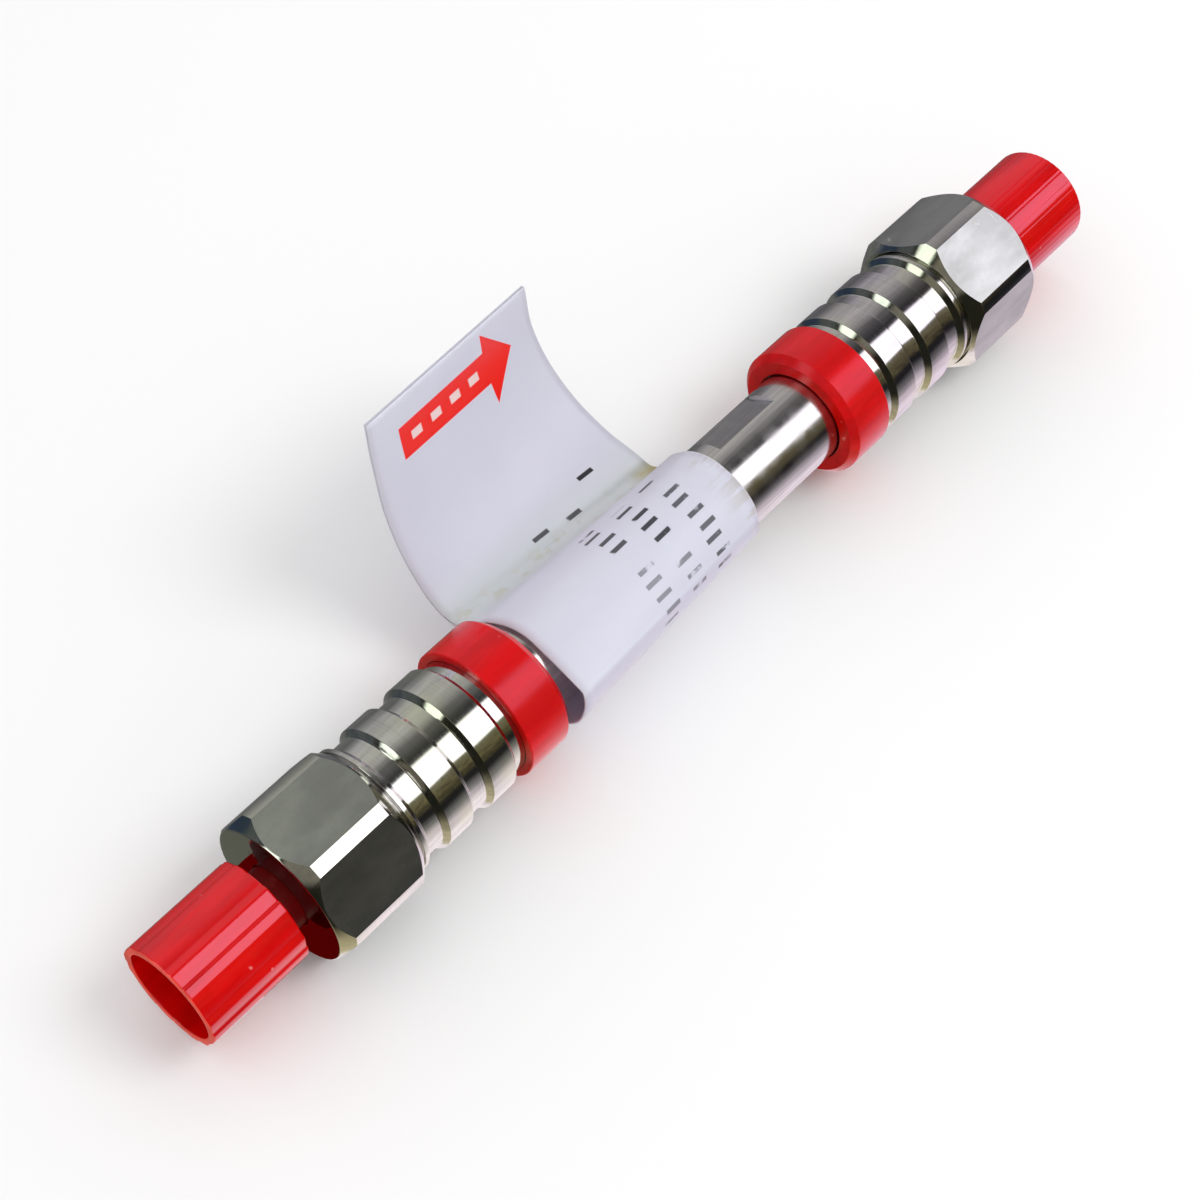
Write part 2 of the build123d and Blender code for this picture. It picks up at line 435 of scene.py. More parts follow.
# ---- shapes ---------------------------------------------------------------------------------------
def rounded(corners, segments=6):
    """The outline through corners (station, radius, fillet), each fillet drawn as an arc."""
    points = []
    for index, (station, radius, fillet) in enumerate(corners):
        here = Vector((station, radius))
        if not fillet:
            points.append(here)
            continue
        before = (Vector(corners[index - 1][:2]) - here).normalized()
        after = (Vector(corners[(index + 1) % len(corners)][:2]) - here).normalized()
        opening = before.angle(after)
        centre = here + (before + after).normalized() * (fillet / sin(opening / 2))
        start = here + before * (fillet / tan(opening / 2)) - centre
        end = here + after * (fillet / tan(opening / 2)) - centre
        sweep = (pi - opening) * (1 if start.cross(end) > 0 else -1)
        for step in range(segments + 1):
            points.append(centre + Matrix.Rotation(sweep * step / segments, 2) @ start)
    return points


def lathe(outline, closed=True, steps=TURN_STEPS):
    """A mesh spun about the X axis from a half section of (station, radius) points."""
    mesh = bmesh.new()
    section = [mesh.verts.new((station, 0, radius)) for station, radius in outline]
    pairs = list(zip(section, section[1:]))
    if closed:
        pairs.append((section[-1], section[0]))
    edges = [mesh.edges.new(pair) for pair in pairs]
    spun = {"cent": (0, 0, 0), "axis": (1, 0, 0), "angle": 2 * pi, "steps": steps, "use_merge": True}
    bmesh.ops.spin(mesh, geom=section + edges, **spun)
    bmesh.ops.remove_doubles(mesh, verts=mesh.verts, dist=1e-7)
    bmesh.ops.recalc_face_normals(mesh, faces=mesh.faces)
    return mesh


def mill(mesh, start, end, direction, distance):
    """Mills the surface between two stations flat, at a distance from the axis."""
    normal = Vector((0, cos(direction), sin(direction)))
    slack = 1e-7
    faces = [face for face in mesh.faces if start < face.calc_center_median().x < end]
    geometry = {item for face in faces for item in [face, *face.edges, *face.verts]}
    bmesh.ops.bisect_plane(mesh, geom=list(geometry), dist=1e-8, plane_co=normal * distance, plane_no=normal)
    for vertex in mesh.verts:
        height = vertex.co.dot(normal)
        if start + slack < vertex.co.x < end - slack and height > distance:
            vertex.co -= normal * (height - distance)


def make_piece(name, mesh, material, body, node, crease=22.0):
    """Turns a finished mesh into a shaded piece that rides on a body and stands for a node."""
    data = bpy.data.meshes.new(name)
    for face in mesh.faces:
        face.smooth = True
    for edge in mesh.edges:
        edge.smooth = edge.calc_face_angle(0) < radians(crease)
    mesh.to_mesh(data)
    mesh.free()
    for each in material if isinstance(material, list) else [material]:
        data.materials.append(each)
    piece = bpy.data.objects.new(name, data)
    bpy.context.scene.collection.objects.link(piece)
    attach(piece, body)
    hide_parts(node)
    return piece


def to_side(mesh, side):
    """Turns a mesh made for the outlet end to face the inlet."""
    if side == INLET:
        bmesh.ops.scale(mesh, vec=(-1, 1, 1), verts=mesh.verts)
        bmesh.ops.reverse_faces(mesh, faces=mesh.faces)


# ---- sizes and colours ----------------------------------------------------------------------------
def length(name, description, default):
    settings = {"default": default, "unit": "LENGTH", "precision": 5}
    return FloatProperty(name=name, description=description, **settings)


def colour(name, description, default):
    settings = {"default": default, "subtype": "COLOR", "min": 0, "max": 1}
    return FloatVectorProperty(name=name, description=description, **settings)


class FittingSizes(bpy.types.PropertyGroup):
    """The turned end fittings."""

    hex_flats: length("Across flats", "Width of the wrench hexagon", 2 * rest_height)
    hex_corners: length("Across corners", "Diameter the hexagon's corners are turned to", 2 * hex_corner)
    hex_length: length("Hexagon", "Length of the hexagon", 6.85 * MM)
    face_diameter: length("Face", "Diameter of the hexagon's flat end face", 9.4 * MM)
    face_chamfer: length("Chamfer", "Length of the chamfer at the hexagon's end face", 0.8 * MM)
    back_diameter: length("Back", "Diameter of the hexagon's back face", 9.1 * MM)
    back_chamfer: length("Back chamfer", "Length of the chamfer at the hexagon's back", 0.8 * MM)
    land_radius: length("Land", "Radius of the barrel", 4.42 * MM)
    groove_radius: length("Floor", "Radius of the groove floors", 4.04 * MM)
    groove_width: length("Groove", "Width of a groove", 1.75 * MM)
    groove_pitch: length("Pitch", "From one groove to the next", 3.6 * MM)
    collar: length("Collar", "Width from the hexagon's back to the first groove", 0.55 * MM)
    groove_slope: length("Slope", "How far a groove's wall leans back", 0.3 * MM)
    groove_fillet: length("Fillet", "Rounding at the foot of a groove's wall", 0.12 * MM)
    edge: length("Edge", "Rounding of the turned edges", 0.05 * MM)
    steel: colour("Turned steel", "Colour of the barrel", (0.70, 0.69, 0.67))
    bar: colour("Hexagon steel", "Colour of the hexagon's flats", (0.48, 0.50, 0.47))


class TubeSizes(bpy.types.PropertyGroup):
    """The column tube."""

    bore: length("Bore", "Radius of the tube's bore", 1.05 * MM)
    flat_start: length("Flat start", "Station where the wrench flats begin", 5.95 * MM)
    flat_end: length("Flat end", "Station where the wrench flats end", 11.25 * MM)
    flat_depth: length("Flat depth", "How deep the wrench flats are milled", 0.3 * MM)
    flat_direction: FloatProperty(
        name="Flat direction", description="Direction of the wrench flats about the axis",
        default=radians(56), subtype="ANGLE",
    )
    steel: colour("Tube steel", "Colour of the tube", (0.68, 0.67, 0.65))


class RingSizes(bpy.types.PropertyGroup):
    """The moulded colour rings."""

    bevel: length("Bevel", "Bevel towards the tube", 0.45 * MM)
    edge: length("Edge", "Rounding of the moulded edges", 0.1 * MM)
    lip: length("Lip", "Gap between the ring's lip and the tube", 0.08 * MM)
    red: colour("Ring red", "Colour of the rings", (0.64, 0.002, 0.0005))


class PlugSizes(bpy.types.PropertyGroup):
    """The moulded transport plugs."""

    head_radius: length("Head", "Radius of the grip, over its soft facets", 3.55 * MM)
    head_length: length("Head length", "Length of the grip", 7.1 * MM)
    wall: length("Wall", "Thickness of the grip's wall", 0.55 * MM)
    floor: length("Floor", "Thickness of the cup's floor", 1.1 * MM)
    stem_radius: length("Stem", "Radius of the threaded stem", 2.1 * MM)
    thread_pitch: length("Pitch", "From one turn of the thread to the next", 0.79 * MM)
    thread_depth: length("Depth", "Depth of the thread", 0.22 * MM)
    red: colour("Plug red", "Colour of the plugs", (0.66, 0.0012, 0.0003))
    # painted shade: the stem and the head's shoulder sit in the shaded gap by the hexagon, so they get this
    # dark red
    dark: colour("Stem red", "Colour of the stem and the shoulder it meets", (0.2, 0.001, 0.001))
    pale: colour("Rim red", "Colour of the rim, where the thin wall lets light through", (0.92, 0.08, 0.05))


class LabelSizes(bpy.types.PropertyGroup):
    """The flag label."""

    thickness: length("Sheet", "Thickness of the sheet", 0.13 * MM)
    arrow_run: length("Arrow", "Distance of the arrow's middle from the flap's end", 3.35 * MM)
    paper: colour("Paper", "Colour of the stock", (0.64, 0.64, 0.74))
    # painted shade: the darker, greener stock beside the valley crease
    valley: colour("Valley", "Colour of the stock beside the glued valley", (0.58, 0.63, 0.62))
    arrow: colour("Arrow red", "Colour of the arrow", (1.0, 0.01, 0.002))


class StageSizes(bpy.types.PropertyGroup):
    """Floor, camera and light."""

    lens: FloatProperty(name="Lens", description="Focal length for a 36 mm sensor", default=69.87, min=1)
    floor_half: length("Floor", "Half the width of the floor", 1.5)
    floor_colour: colour("Floor", "Colour of the floor", (0.90, 0.90, 0.90))
    ambient: FloatProperty(
        name="Ambient", description="Brightness of the light from all round", default=0.88, min=0,
    )
    key: FloatProperty(name="Key", description="Power of the key light in watts", default=0.9, min=0)


GROUPS = {
    "fitting": FittingSizes,
    "tube": TubeSizes,
    "ring": RingSizes,
    "plug": PlugSizes,
    "label": LabelSizes,
    "stage": StageSizes,
}


# ---- pieces ---------------------------------------------------------------------------------------
def fitting_outline(sizes):
    """Half section of an end fitting: hexagon blank, neck, lands and grooves, nose, and the bored inside."""
    corner = sizes.hex_corners / 2
    face = sizes.face_diameter / 2
    back = hex_face - sizes.hex_length
    land, floor, edge = sizes.land_radius, sizes.groove_radius, sizes.edge
    fillet, lean = sizes.groove_fillet, sizes.groove_slope
    neck, neck_radius, soft = 0.25 * MM, floor + 0.05 * MM, 0.1 * MM
    outline = [
        (hex_face, face, 0.12 * MM), (hex_face - sizes.face_chamfer, corner, soft),
        (back + sizes.back_chamfer, corner, soft), (back, sizes.back_diameter / 2, edge),
        (back, neck_radius, soft), (back - neck, neck_radius, soft), (back - neck, land, edge),
    ]
    wall = back - sizes.collar
    for _ in range(2):
        far = wall - sizes.groove_width
        outline += [(wall, land, edge), (wall - lean, floor, fillet)]
        outline += [(far + lean, floor, fillet), (far, land, edge)]
        wall -= sizes.groove_pitch
    outline += [(wall, land, edge), (wall - lean, floor, fillet), (nose_end, floor, 0.2 * MM)]
    socket = tube_radius + 0.02 * MM
    outline += [(nose_end, socket, 0), (seal_end, socket, 0)]
    passage, capillary, seat, port = 0.25 * MM, 0.825 * MM, 1.6 * MM, 2.15 * MM
    passage_end = seal_end + 0.7 * MM
    capillary_end = passage_end + 1.1 * MM
    seat_end = capillary_end + 1.05 * MM
    outline += [(seal_end, passage, 0), (passage_end, passage, 0), (passage_end, capillary, 0)]
    outline += [(capillary_end, capillary, 0), (seat_end, seat, 0), (seat_end, port, 0)]
    mouth_chamfer = 0.08 * MM
    outline += [(hex_face - mouth_chamfer, port, 0), (hex_face, port + mouth_chamfer, 0)]
    return rounded(outline)


# How far each hexagon is rolled about the axis, in degrees.
HEXAGON_ROLL = {INLET: 0, OUTLET: 30}


class COLUMN_OT_end_fittings(bpy.types.Operator):
    """Turns and mills the two steel end fittings"""

    bl_idname = "column.end_fittings"
    bl_label = "End Fittings"

    def execute(self, context):
        sizes = context.scene.column_fitting
        turned = tuple(sizes.steel)
        steels = [turned_steel(turned), hexagon_steel(tuple(sizes.bar)), faced_steel(turned)]
        back = hex_face - sizes.hex_length
        flat = sizes.hex_flats / 2
        for end, side in SIDES.items():
            mesh = lathe(fitting_outline(sizes))
            for number in range(6):
                mill(mesh, back, hex_face, radians(HEXAGON_ROLL[side] + 30 + 60 * number), flat)
            mesh.normal_update()
            # the second steel goes on the flats, and the third on the end face
            for face in mesh.faces:
                middle = face.calc_center_median()
                if middle.x > hex_face - 0.01 * MM:
                    face.material_index = 2
                elif middle.x > back and abs(middle.dot(face.normal) - flat) < 0.001 * MM:
                    face.material_index = 1
            to_side(mesh, side)
            make_piece(f"{end}_fitting", mesh, steels, "column", f"{end}_end_fitting")
        return {"FINISHED"}


class COLUMN_OT_tube(bpy.types.Operator):
    """Makes the drawn tube with its pair of wrench flats"""

    bl_idname = "column.tube"
    bl_label = "Column Tube"

    def execute(self, context):
        sizes = context.scene.column_tube
        shoulder = 0.02 * MM
        chamfer = 0.2 * MM
        start, end = sizes.flat_start, sizes.flat_end
        marks = [-tube_end + chamfer, start, start + shoulder, end - shoulder, end, tube_end - chamfer]
        outline = [(-tube_end, tube_radius - chamfer, 0)]
        outline += [(station, tube_radius, 0) for station in marks]
        outline += [(tube_end, tube_radius - chamfer, 0)]
        outline += [(tube_end, sizes.bore, 0), (-tube_end, sizes.bore, 0)]
        mesh = lathe(rounded(outline))
        for turn in (0, pi):
            mill(mesh, start, end, sizes.flat_direction + turn, tube_radius - sizes.flat_depth)
        steel = drawn_steel(tuple(sizes.steel))
        make_piece("steel_tube", mesh, steel, "column", "column_tube")
        return {"FINISHED"}


class COLUMN_OT_colour_rings(bpy.types.Operator):
    """Moulds the two red rings that clip over the fittings' noses"""

    bl_idname = "column.colour_rings"
    bl_label = "Colour Rings"

    def execute(self, context):
        sizes = context.scene.column_ring
        groove = context.scene.column_fitting.groove_radius
        seat = groove + 0.01 * MM
        lip = tube_radius + sizes.lip
        edge, bevel = sizes.edge, sizes.bevel
        outline = rounded([
            (ring_inner_face, ring_radius - bevel, edge), (ring_inner_face + bevel, ring_radius, edge),
            (ring_outer_face, ring_radius, edge), (ring_outer_face, seat, 0.03 * MM), (nose_end, seat, 0),
            (nose_end, lip, 0), (ring_inner_face, lip, edge),
        ])
        shine = {"IOR": 1.6, "Specular Tint": (0.95, 0.42, 0.6, 1.0)}
        red = moulded_plastic("ring plastic", tuple(sizes.red), 0.2, 0.0005 * MM, (0.8, 0.25, 0.2), **shine)
        for end, side in SIDES.items():
            mesh = lathe(outline)
            to_side(mesh, side)
            make_piece(f"{end}_red_ring", mesh, red, "column", f"{end}_colour_ring")
        return {"FINISHED"}


# Each grip's moulded outline: where its first stretch starts, in degrees about the axis, and the stretch
# that repeats all round as (degrees on from the start, millimetres under the full radius).
GRIPS = {
    INLET: (104, [(0, 0.0), (14, 0.13), (17, 0.02), (26.5, 0.0), (30, 0.05), (52, 0.13), (60, 0.0)]),
    OUTLET: (0, [(0, 0.018), (1.25, 0.0), (6.25, 0.0), (7.5, 0.018)]),
}


def shape_grip(mesh, inside, start, outline):
    """Presses an outline's soft lobes and grooves, repeated all round, into a grip's wall."""
    for vertex in mesh.verts:
        around = vertex.co.yz.length
        if around > inside:
            turn = (degrees(atan2(vertex.co.z, vertex.co.y)) - start) % outline[-1][0]
            for (before, first), (after, second) in zip(outline, outline[1:]):
                if before <= turn <= after:
                    depth = first + (second - first) * (turn - before) / (after - before)
            vertex.co.yz *= 1 - depth * MM / around


def plug_outline(sizes, base, tip):
    """Half section of a plug, from the cup's floor over the rim and down the threaded stem."""
    rim = base + sizes.head_length
    head = sizes.head_radius
    inside = head - sizes.wall
    stem = sizes.stem_radius
    corners = [
        (base + sizes.floor, 0, 0), (base + sizes.floor, inside, 0.25 * MM), (rim, inside, 0.1 * MM),
        (rim, head, 0.12 * MM), (base, head, 0.15 * MM), (base, stem, 0.1 * MM),
    ]
    plain, taper = 1.9 * MM, 0.7 * MM
    station = base - plain
    crest = sizes.thread_pitch * 0.3
    point = tip + taper
    while station - sizes.thread_pitch > point:
        corners += [(station, stem, 0), (station - crest, stem - sizes.thread_depth, 0.04 * MM)]
        corners += [(station - 2 * crest, stem, 0)]
        station -= sizes.thread_pitch
    corners += [(point, stem, 0.05 * MM), (tip, 0.9 * MM, 0.1 * MM), (tip, 0, 0)]
    return rounded(corners)


class COLUMN_OT_plugs(bpy.types.Operator):
    """Moulds the two transport plugs: a thin faceted cup on a threaded stem"""

    bl_idname = "column.plugs"
    bl_label = "Transport Plugs"

    def execute(self, context):
        sizes = context.scene.column_plug
        shine = {"IOR": 1.8, "Specular Tint": (0.95, 0.6, 0.8, 1.0)}
        red = moulded_plastic("plug plastic", tuple(sizes.red), 0.09, 0.003 * MM, (0.9, 0.4, 0.38), **shine)
        rubbed, worn = (0.3, 0.02, 0.02), (0.95, 0.3, 0.25)
        # painted shade: a dark red for the stem and the shoulder, where the gap under the head is shaded
        dark = moulded_plastic("stem shade plastic", tuple(sizes.dark), 0.35, 0.002 * MM, rubbed, IOR=1.25)
        pale = moulded_plastic("rim plastic", tuple(sizes.pale), 0.3, 0.004 * MM, worn, IOR=1.45)
        for end, side in SIDES.items():
            low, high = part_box(f"{end}_plug")
            rim, tip = sorted((side * low.x, side * high.x), reverse=True)
            base = rim - sizes.head_length
            mesh = lathe(plug_outline(sizes, base, tip), closed=False, steps=2 * TURN_STEPS)
            shape_grip(mesh, sizes.head_radius - sizes.wall * 0.5, *GRIPS[side])
            # the darker red, painted shade of the gap by the hexagon, goes on the stem and the shoulder, and
            # the paler one, painted light through the thin wall, on the rim
            shoulder = sizes.head_radius - 0.2 * MM
            for face in mesh.faces:
                middle = face.calc_center_median()
                if middle.x < base + 0.01 * MM and middle.yz.length < shoulder:
                    face.material_index = 1
                elif middle.x > rim - 0.06 * MM:
                    face.material_index = 2
            to_side(mesh, side)
            plug, reds = f"{end}_plug", [red, dark, pale]
            make_piece(f"{end}_transport_plug", mesh, reds, plug, plug, 35.0)
        return {"FINISHED"}


# The label's section at each edge, as (Y, Z) in millimetres: from the flap's end down to the valley,
# over the tube, round the crease and bulge, under the tube and back to the valley.
INLET_FLAP = [(12.1, 12.5), (11.65, 9.0), (10.6, 4.5), (8.7, 1.25), (6.9, -0.3)]
INLET_LOOP = [
    (5.5, -0.35), (2.5, 2.45), (0.1, 3.5), (-1.8, 3.1), (-3.4, 2.58), (-4.60, 2.13),
    (-4.70, 2.04), (-4.82, 0.4), (-3.7, -1.9), (0, -3.42), (2.1, -2.75), (5.45, -0.65),
]
OUTLET_FLAP = [(15.55, 8.25), (14.9, 4.3), (12.6, 1.1), (9.3, -0.7), (6.4, -1.2)]
OUTLET_LOOP = [
    (5.0, -1.3), (3.2, 1.45), (1.0, 3.25), (-1.0, 3.25), (-2.95, 1.95), (-3.52, 0.45),
    (-3.56, 0.33), (-3.45, -0.9), (-2.9, -1.9), (0, -3.42), (1.6, -3.0), (4.95, -1.55),
]
# The label's edges: (name, flap, loop, station in millimetres, degrees it leans to the outlet with height)
LABEL_EDGES = [
    ("inlet edge", INLET_FLAP, INLET_LOOP, -12.75, 2.0),
    ("outlet edge", OUTLET_FLAP, OUTLET_LOOP, 4.95, -2.4),
]
CURVE_STEPS = 10
RUNG_CUTS = 24


def edge_line(name, flap, loop, thickness, station, lean):
    """One edge of the label, as a smooth line through its section's points."""
    middle = [Vector(point) * MM for point in flap]
    root = Vector(loop[0]) * MM
    upper, lower = [], []
    for index, point in enumerate(middle):
        before = middle[max(index - 1, 0)]
        after = middle[index + 1] if index + 1 < len(middle) else root
        along = (after - before).normalized()
        side = Vector((along.y, -along.x)) * thickness / 2
        upper.append(point + side)
        lower.append(point - side)
    points = upper + [Vector(point) * MM for point in loop] + lower[::-1]
    curve = bpy.data.curves.new(name, "CURVE")
    curve.dimensions = "3D"
    spline = curve.splines.new("BEZIER")
    spline.bezier_points.add(len(points) - 1)
    spline.resolution_u = CURVE_STEPS
    for knot, point in zip(spline.bezier_points, points):
        knot.co = (station + point.y * tan(lean), point.x, point.y)
        knot.handle_left_type = knot.handle_right_type = "AUTO"
    holder = bpy.data.objects.new(name, curve)
    bpy.context.scene.collection.objects.link(holder)
    bpy.context.view_layer.update()
    line = bpy.data.meshes.new_from_object(holder.evaluated_get(bpy.context.evaluated_depsgraph_get()))
    bpy.data.objects.remove(holder)
    return line


class COLUMN_OT_label(bpy.types.Operator):
    """Loops the flag label round the tube and curls its flap"""

    bl_idname = "column.label"
    bl_label = "Flag Label"

    def execute(self, context):
        sizes = context.scene.column_label
        start = LABEL_EDGES[0][3] * MM
        mesh = bmesh.new()
        run_layer = mesh.verts.layers.float.new("run")
        across_layer = mesh.verts.layers.float.new("across")
        valley_layer = mesh.verts.layers.float.new("valley")
        edges = []
        for name, flap, loop, place, lean in LABEL_EDGES:
            station = place * MM
            line = edge_line(name, flap, loop, sizes.thickness, station, radians(lean))
            run, last = 0.0, None
            vertices = []
            for point in line.vertices:
                vertex = mesh.verts.new(point.co)
                if last:
                    run += (vertex.co - last.co).length
                    edges.append(mesh.edges.new((last, vertex)))
                vertex[run_layer] = run
                vertex[across_layer] = station - start
                vertices.append(vertex)
                last = vertex
            valley = vertices[len(flap) * CURVE_STEPS]
            for vertex in vertices:
                vertex[valley_layer] = valley[run_layer]
        bmesh.ops.bridge_loops(mesh, edges=edges)
        # the rungs that the bridge laid from edge to edge, the only long edges there are
        rungs = [edge for edge in mesh.edges if edge.calc_length() > 10 * MM]
        bmesh.ops.subdivide_edges(mesh, edges=rungs, cuts=RUNG_CUTS, use_grid_fill=True)
        bmesh.ops.recalc_face_normals(mesh, faces=mesh.faces)
        piece = make_piece("flag_label", mesh, label_paper(sizes), "column", "label", 60.0)
        solid = piece.modifiers.new("sheet", "SOLIDIFY")
        solid.thickness = sizes.thickness
        solid.offset = 0
        return {"FINISHED"}


class COLUMN_OT_inside(bpy.types.Operator):
    """Finishes the frits, seal rings and packing that the column holds"""

    bl_idname = "column.inside"
    bl_label = "Packing and Seals"

    def execute(self, context):
        steel = sintered_steel((0.45, 0.44, 0.42))
        polymer = seal_polymer((0.72, 0.62, 0.45))
        powder = packed_powder((0.93, 0.92, 0.90))
        finishes = {"packed_bed": powder}
        for end in SIDES:
            finishes[f"{end}_frit"] = steel
            finishes[f"{end}_seal_ring"] = polymer
        for node, material in finishes.items():
            data = frame["nodes"][node].data
            data.materials.clear()
            data.materials.append(material)
        return {"FINISHED"}


# ---- stage ----------------------------------------------------------------------------------------
# What the polished steel mirrors all round the column: (degrees about the X axis, brightness, colour)
TENT = [
    (-64, 0.40, (1.0, 1.0, 1.0)),
    (-50, 0.17, (0.97, 1.0, 0.95)),
    (-15, 0.17, (0.97, 1.0, 0.97)),
    (0, 0.28, (1.0, 1.0, 1.0)),
    (14, 0.50, (1.0, 1.0, 0.98)),
    (45, 0.62, (1.0, 1.0, 0.9)),
    (62, 0.52, (1.0, 1.0, 0.92)),
    (78, 0.18, (1.0, 1.0, 0.96)),
    (100, 0.05, (1.0, 1.0, 0.97)),
    (106, 0.10, (1.0, 1.0, 1.0)),
    (111, 2.3, (1.0, 1.0, 1.0)),
    (147, 2.3, (1.0, 1.0, 1.0)),
    (150, 0.22, (1.0, 0.96, 0.6)),
    (164, 0.07, (1.0, 0.93, 0.55)),
    (173, 0.018, (1.0, 0.97, 0.95)),
    (190, 0.024, (0.97, 0.97, 1.0)),
    (207, 0.28, (1.0, 0.97, 0.96)),
    (222, 0.85, (1.0, 0.90, 0.94)),
    (244, 1.25, (1.0, 0.90, 0.93)),
    (296, 1.0, (1.0, 0.91, 0.94)),
]
TENT_START = TENT[0][0]
TENT_RADIUS = 1.2
TENT_GLOW = 3.0
# The dark mottled band: its middle and its reach, in degrees
MOTTLED_BAND = 166.0
MOTTLED_REACH = (6.0, 18.0)


def tent_light():
    """The tent's glow: bands about the X axis, cooler towards the outlet, and dark towards the inlet
    but for one pale window above and a grey apron below."""
    material = bpy.data.materials.new("reflector tent")
    material.use_nodes = True
    shader = Shader(material.node_tree)
    outward = shader.node("ShaderNodeVectorMath", {"operation": "NORMALIZE"}, {0: shader.place()})
    x, y, z = shader.split(outward)
    angle = z.maths("ARCTAN2", y) * (180 / pi)
    turn = ((angle - TENT_START) / 360).maths("FRACT")
    stops = []
    for place, bright, tint in TENT:
        stops.append(((place - TENT_START) / 360, shaded(tint, bright / TENT_GLOW)))
    glow = shader.node("ShaderNodeValToRGB", {"stops": stops}, {0: turn})
    mottle = shader.speckle(outward, 55.0, 3.0, 0.7).fade(0.48, 0.6)
    band = abs(abs(angle) - 180 + (180 - MOTTLED_BAND) * z.maths("SIGN")).fade(*MOTTLED_REACH, 1.0, 0.0)
    glow = shader.tint(mottle * band * 0.8, glow, (0.13, 0.11, 0.05))

    # the outlet end's cooler tint
    glow = shader.dim(x.fade(0.42, 0.6), glow, (0.86, 0.81, 0.92))

    # the inlet end: a dark wall, bluer at its side, paler at its top, and the apron and the window over it
    end = shader.tint(y.fade(0.55, 0.7), (0.007, 0.007, 0.005), (0.033, 0.037, 0.037))
    end = shader.tint(y.fade(0.82, 0.9), end, (0.012, 0.018, 0.028))
    end = shader.tint(z.fade(0.3, 0.45) * y.fade(0.2, 0.05), end, (0.08, 0.075, 0.06))
    end = shader.tint(z.fade(-0.4, -0.95) * y.fade(0.25, 0.1), end, (0.21, 0.185, 0.12))
    end = shader.tint(z.fade(-0.5, -0.75) * y.fade(0.25, 0.38), end, (0.055, 0.058, 0.046))
    window = abs(y - 0.38).fade(0.12, 0.2, 1.0, 0.0) * z.fade(-0.1, 0.02)
    end = shader.tint(window, end, (0.55, 0.6, 0.52))
    glow = shader.tint(x.fade(-0.05, -0.22), glow, end)
    light = shader.node("ShaderNodeEmission", values={"Color": glow, "Strength": TENT_GLOW})
    shader.node("ShaderNodeOutputMaterial", values={"Surface": light})
    return material


UNMIRRORED_RAYS = ["camera", "diffuse", "transmission", "volume_scatter", "shadow"]


def stage_thing(name, mesh, material, only_mirrored=True):
    """Makes a thing of the stage that shows only in reflections, or everywhere but in them."""
    data = bpy.data.meshes.new(name)
    mesh.to_mesh(data)
    mesh.free()
    data.materials.append(material)
    thing = bpy.data.objects.new(name, data)
    for ray in UNMIRRORED_RAYS if only_mirrored else ["glossy"]:
        setattr(thing, f"visible_{ray}", False)
    bpy.context.scene.collection.objects.link(thing)
    return thing


def aimed(name, data, place, target):
    """Links a lamp or camera at a place, in millimetres, and turns it to a target."""
    thing = bpy.data.objects.new(name, data)
    thing.location = Vector(place) * MM
    thing.rotation_mode = "QUATERNION"
    thing.rotation_quaternion = (Vector(target) * MM - thing.location).to_track_quat("-Z", "Y")
    bpy.context.scene.collection.objects.link(thing)
    return thing


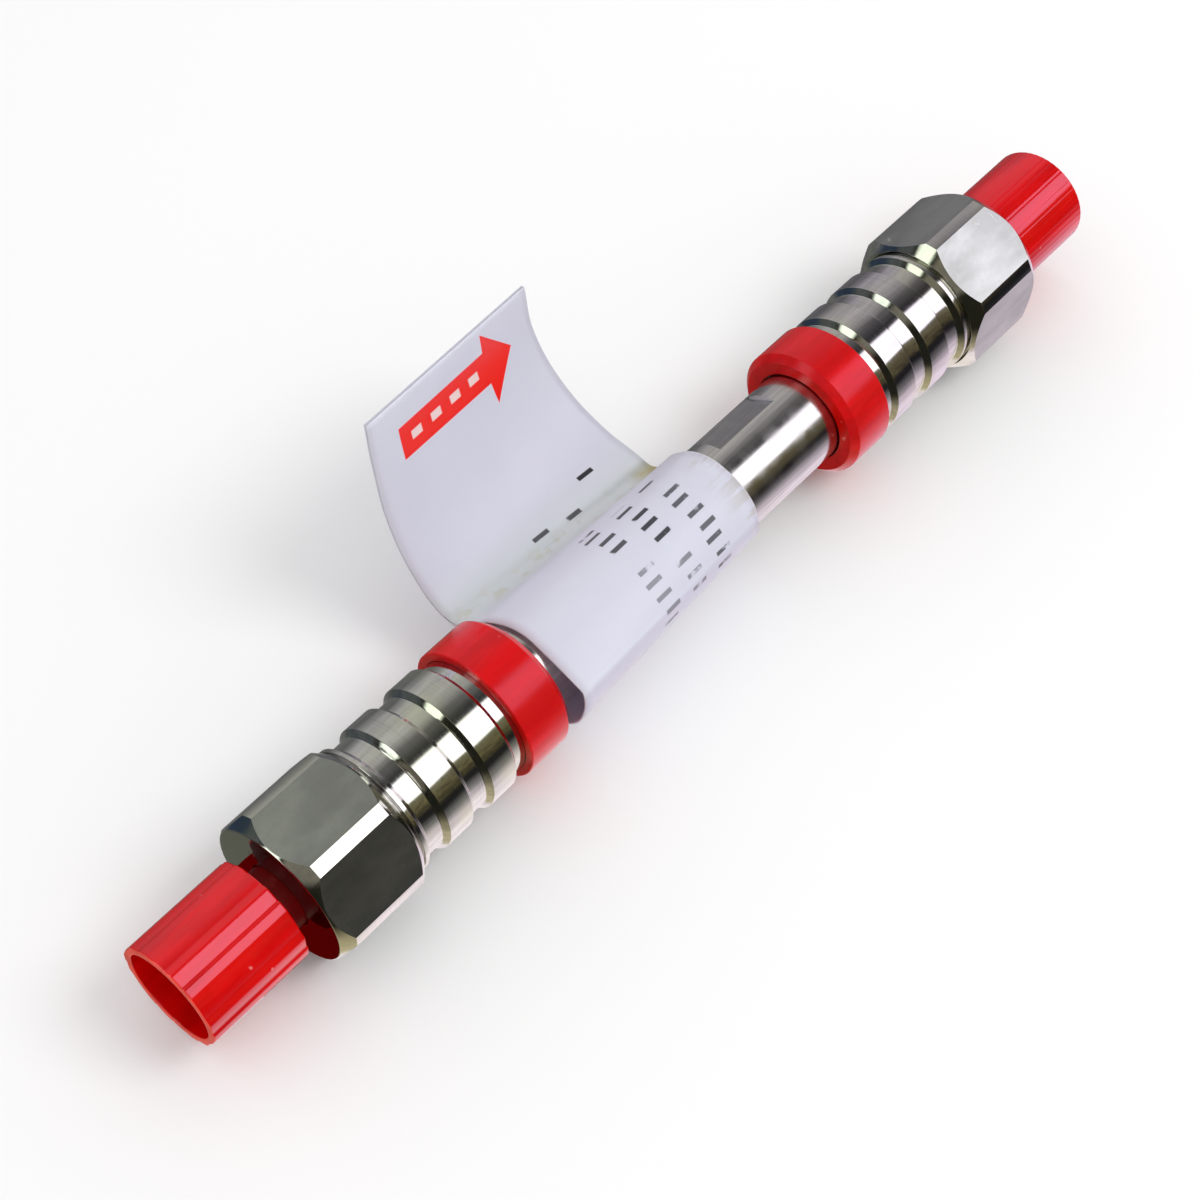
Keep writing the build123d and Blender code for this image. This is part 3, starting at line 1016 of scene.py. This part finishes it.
class COLUMN_OT_stage(bpy.types.Operator):
    """Lays the floor, hangs the lights and sets up the camera"""

    bl_idname = "column.stage"
    bl_label = "Stage"

    def execute(self, context):
        sizes = context.scene.column_stage
        scene = context.scene

        # The column lies on the inlet hexagon's flat and the outlet hexagon's corner, so the floor leans.
        fitting = context.scene.column_fitting
        front = hex_face - fitting.face_chamfer
        back = hex_face - fitting.hex_length + fitting.back_chamfer
        slope = (fitting.hex_corners / 2 - rest_height) / (front + back)
        floor_mesh = bmesh.new()
        bmesh.ops.create_grid(floor_mesh, x_segments=1, y_segments=1, size=sizes.floor_half)
        for vertex in floor_mesh.verts:
            vertex.co.z = -(rest_height + slope * (vertex.co.x + front))
        pale = {"Base Color": (*sizes.floor_colour, 1.0), "Roughness": 0.9, "Specular IOR Level": 0.1}
        pale_floor = finish_of("pale floor", lambda shader: {}, **pale)
        floor = stage_thing("floor", floor_mesh, pale_floor, only_mirrored=False)

        tent_mesh = bmesh.new()
        bmesh.ops.create_icosphere(tent_mesh, subdivisions=4, radius=TENT_RADIUS)
        bmesh.ops.reverse_faces(tent_mesh, faces=tent_mesh.faces)
        tent = stage_thing("reflector_tent", tent_mesh, tent_light())

        # The floor's deep shade under the inlet plug, which only the polished end face mirrors.
        shade_mesh = bmesh.new()
        bmesh.ops.create_grid(shade_mesh, x_segments=1, y_segments=1, size=1)
        reach, breadth, ahead, aside = 2.0 * MM, 4.4 * MM, 1.6 * MM, 1.2 * MM
        bmesh.ops.scale(shade_mesh, verts=shade_mesh.verts, vec=(reach, breadth, 1))
        place = (-hex_face - ahead, aside, -rest_height)
        bmesh.ops.translate(shade_mesh, verts=shade_mesh.verts, vec=place)
        deep = {"Base Color": (0.0, 0.0, 0.0, 1.0), "Specular IOR Level": 0.0}
        deep.update({"Emission Color": (0.13, 0.001, 0.001, 1.0), "Emission Strength": 1.0})
        shade = stage_thing("plug_shade", shade_mesh, finish_of("plug shade", lambda shader: {}, **deep))

        world = bpy.data.worlds.new("studio")
        world.use_nodes = True
        sky = Shader(world.node_tree)
        light = {"Color": (1.0, 1.0, 1.0, 1.0), "Strength": sizes.ambient}
        sky.node("ShaderNodeOutputWorld", values={"Surface": sky.node("ShaderNodeBackground", values=light)})
        scene.world = world

        lamp = bpy.data.lights.new("key", "AREA")
        lamp.shape = "DISK"
        lamp.size = 0.28
        lamp.energy = sizes.key
        key = aimed("key", lamp, (160, -280, 420), (0, 0, 0))
        key.visible_glossy = False

        lens = bpy.data.cameras.new("camera")
        lens.lens = sizes.lens
        lens.sensor_width = 36
        lens.clip_start, lens.clip_end = 0.01, 10
        scene.camera = aimed("camera", lens, (-68.51, -54.79, 113.45), (-5.87, 0, 0))
        scene.view_settings.view_transform = "Standard"
        return {"FINISHED"}


OPERATORS = [
    COLUMN_OT_stage,
    COLUMN_OT_tube,
    COLUMN_OT_end_fittings,
    COLUMN_OT_colour_rings,
    COLUMN_OT_plugs,
    COLUMN_OT_label,
    COLUMN_OT_inside,
]


class COLUMN_PT_panel(bpy.types.Panel):
    """Lists the column's pieces"""

    bl_idname = "COLUMN_PT_panel"
    bl_label = "Chromatography Column"
    bl_space_type = "VIEW_3D"
    bl_region_type = "UI"
    bl_category = "Column"

    def draw(self, context):
        for operator in OPERATORS:
            self.layout.operator(operator.bl_idname)
        for key, group in GROUPS.items():
            box = self.layout.box()
            box.label(text=group.__doc__)
            for name in group.__annotations__:
                box.prop(getattr(context.scene, f"column_{key}"), name)


CLASSES = [*GROUPS.values(), *OPERATORS, COLUMN_PT_panel]


def register():
    for each in CLASSES:
        bpy.utils.register_class(each)
    for key, group in GROUPS.items():
        setattr(bpy.types.Scene, f"column_{key}", PointerProperty(type=group))


def unregister():
    for key in GROUPS:
        delattr(bpy.types.Scene, f"column_{key}")
    for each in reversed(CLASSES):
        bpy.utils.unregister_class(each)


def main():
    register()
    bpy.ops.column.stage()
    bpy.ops.column.tube()
    bpy.ops.column.end_fittings()
    bpy.ops.column.colour_rings()
    bpy.ops.column.plugs()
    bpy.ops.column.label()
    bpy.ops.column.inside()


if __name__ == "__main__":
    main()
